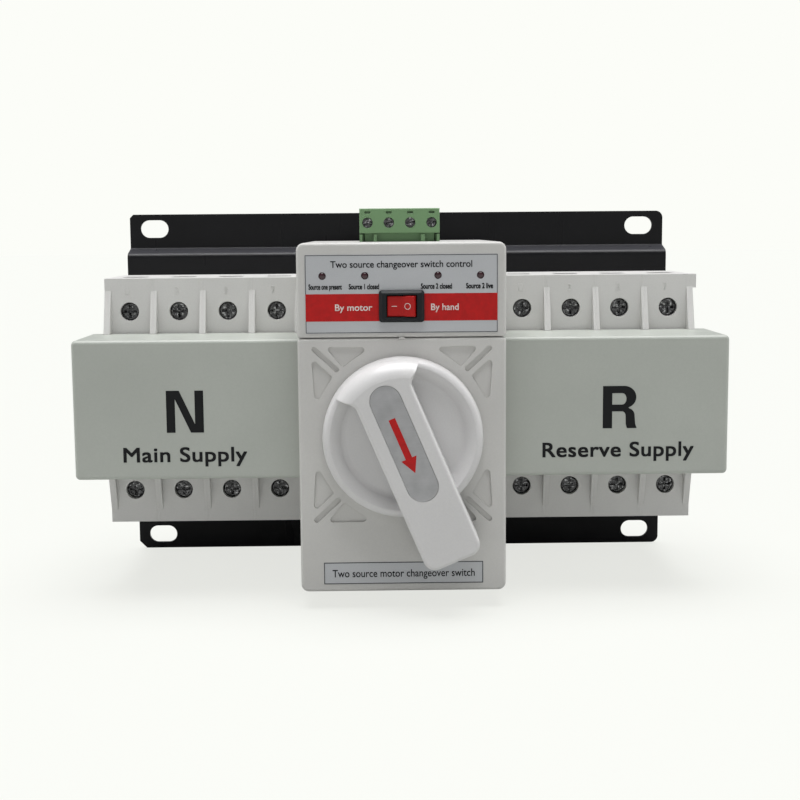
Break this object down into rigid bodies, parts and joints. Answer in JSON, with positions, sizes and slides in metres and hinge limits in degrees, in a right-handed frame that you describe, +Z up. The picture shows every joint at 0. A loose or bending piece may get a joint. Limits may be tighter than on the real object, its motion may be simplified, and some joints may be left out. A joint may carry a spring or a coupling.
{
  "type": "transfer switch",
  "caption": "Dual-source transfer switch on a bent base plate: two breaker groups under hoods, a central motor drive with a rotary handle, a rocker, lamps and a plug-in terminal block.",
  "frame": {"origin": "centre of the four mounting slots on the back plane of the base plate", "axes": "+Z up, front faces -Y, +X to the right seen from the front"},
  "size_m": [0.228, 0.1155, 0.1375],
  "materials": {
    "plate_black": "satin black powder coat",
    "pole_grey": "moulded light grey, fine texture",
    "cover_grey": "moulded greenish grey, smooth",
    "housing_grey": "moulded warm light grey, fine texture",
    "handle_white": "moulded pale grey, slight sheen",
    "plaque_steel": "brushed",
    "label_silver": "printed silver grey film",
    "zinc_steel": "zinc plated",
    "screw_steel": "plated, dull",
    "copper": "copper, silver tipped",
    "brass_gear": "machined",
    "nylon_white": "moulded nylon",
    "toggle_black": "moulded black",
    "board_green": "solder mask",
    "lamp_red": "tinted clear resin, unlit",
    "rocker_red": "glossy red",
    "terminal_green": "moulded green"
  },
  "bodies": {
    "base": {"base_plate": "plate_black", "normal_pole_case_1": "pole_grey", "normal_pole_case_2": "pole_grey", "normal_pole_case_3": "pole_grey", "normal_pole_case_4": "pole_grey", "normal_pole_lid_1": "pole_grey", "normal_pole_lid_2": "pole_grey", "normal_pole_lid_3": "pole_grey", "normal_pole_lid_4": "pole_grey", "normal_cover": "cover_grey", "normal_wire_clamps": "zinc_steel", "normal_terminal_screws": "screw_steel", "normal_fixed_contacts": "copper", "normal_trip_units": "copper", "normal_arc_chutes": "zinc_steel", "reserve_pole_case_1": "pole_grey", "reserve_pole_case_2": "pole_grey", "reserve_pole_case_3": "pole_grey", "reserve_pole_case_4": "pole_grey", "reserve_pole_lid_1": "pole_grey", "reserve_pole_lid_2": "pole_grey", "reserve_pole_lid_3": "pole_grey", "reserve_pole_lid_4": "pole_grey", "reserve_cover": "cover_grey", "reserve_wire_clamps": "zinc_steel", "reserve_terminal_screws": "screw_steel", "reserve_fixed_contacts": "copper", "reserve_trip_units": "copper", "reserve_arc_chutes": "zinc_steel", "pole_rivets": "zinc_steel", "mechanism_frame": "zinc_steel", "motor": "zinc_steel", "breaker_screws": "screw_steel", "housing_screws": "screw_steel", "drive_housing": "housing_grey", "drive_cover": "housing_grey", "control_base": "housing_grey", "control_housing": "housing_grey", "position_switches": "toggle_black", "rocker_frame": "toggle_black", "control_label": "label_silver", "control_board": "board_green", "indicator_lamps": "lamp_red", "terminal_header": "terminal_green"},
    "handle": {"rotary_handle": "handle_white", "handle_plaque": "plaque_steel", "handle_shaft": "zinc_steel", "drive_gear": "nylon_white"},
    "pinion": {"motor_pinion": "brass_gear"},
    "rocker": {"rocker_button": "rocker_red"},
    "plug": {"terminal_plug": "terminal_green", "plug_screws": "screw_steel"},
    "normal_slide": {"normal_drive_slide": "nylon_white"},
    "normal_toggle_set": {"normal_toggles": "toggle_black", "normal_tie_bar": "zinc_steel"},
    "normal_contact_set": {"normal_moving_contacts": "copper"},
    "reserve_slide": {"reserve_drive_slide": "nylon_white"},
    "reserve_toggle_set": {"reserve_toggles": "toggle_black", "reserve_tie_bar": "zinc_steel"},
    "reserve_contact_set": {"reserve_moving_contacts": "copper"}
  },
  "joints": [
    {"name": "handle_turn", "type": "hinge", "parent": "base", "child": "handle", "pos_m": [0, -0.1, -0.0078], "axis": [0, 1, 0], "range_deg": [0, 46]},
    {"name": "pinion_spin", "type": "hinge", "parent": "base", "child": "pinion", "pos_m": [0, -0.085, -0.0338], "axis": [0, 1, 0], "range_deg": [-153.8, 0]},
    {"name": "rocker_tilt", "type": "hinge", "parent": "base", "child": "rocker", "pos_m": [0, -0.0986, 0.036], "axis": [0, 0, 1], "range_deg": [0, 22.8]},
    {"name": "plug_pull", "type": "slide", "parent": "base", "child": "plug", "axis": [0, 0, 1], "range_m": [0, 0.01]},
    {"name": "normal_slide_travel", "type": "slide", "parent": "base", "child": "normal_slide", "axis": [0, 0, 1], "range_m": [0, 0.01616]},
    {"name": "normal_toggle_throw", "type": "hinge", "parent": "base", "child": "normal_toggle_set", "pos_m": [-0.0723, -0.0625, -0.0009], "axis": [-1, 0, 0], "range_deg": [0, 57.6]},
    {"name": "normal_contact_swing", "type": "hinge", "parent": "base", "child": "normal_contact_set", "pos_m": [-0.0723, -0.046, 0.0031], "axis": [-1, 0, 0], "range_deg": [0, 17.3]},
    {"name": "reserve_slide_travel", "type": "slide", "parent": "base", "child": "reserve_slide", "axis": [0, 0, -1], "range_m": [0, 0.01616]},
    {"name": "reserve_toggle_throw", "type": "hinge", "parent": "base", "child": "reserve_toggle_set", "pos_m": [0.0723, -0.0625, -0.0009], "axis": [1, 0, 0], "range_deg": [0, 57.6]},
    {"name": "reserve_contact_swing", "type": "hinge", "parent": "base", "child": "reserve_contact_set", "pos_m": [0.0723, -0.046, 0.0031], "axis": [1, 0, 0], "range_deg": [0, 17.3]}
  ],
  "couplings": [
    {"joint": "pinion_spin", "follows": "handle_turn", "ratio": -3.3333},
    {"joint": "normal_slide_travel", "follows": "handle_turn", "m_per_rad": 0.02},
    {"joint": "normal_toggle_throw", "follows": "handle_turn", "ratio": 1.25},
    {"joint": "normal_contact_swing", "follows": "handle_turn", "ratio": 0.375},
    {"joint": "reserve_slide_travel", "follows": "handle_turn", "m_per_rad": 0.02},
    {"joint": "reserve_toggle_throw", "follows": "handle_turn", "ratio": 1.25},
    {"joint": "reserve_contact_swing", "follows": "handle_turn", "ratio": 0.375}
  ]
}
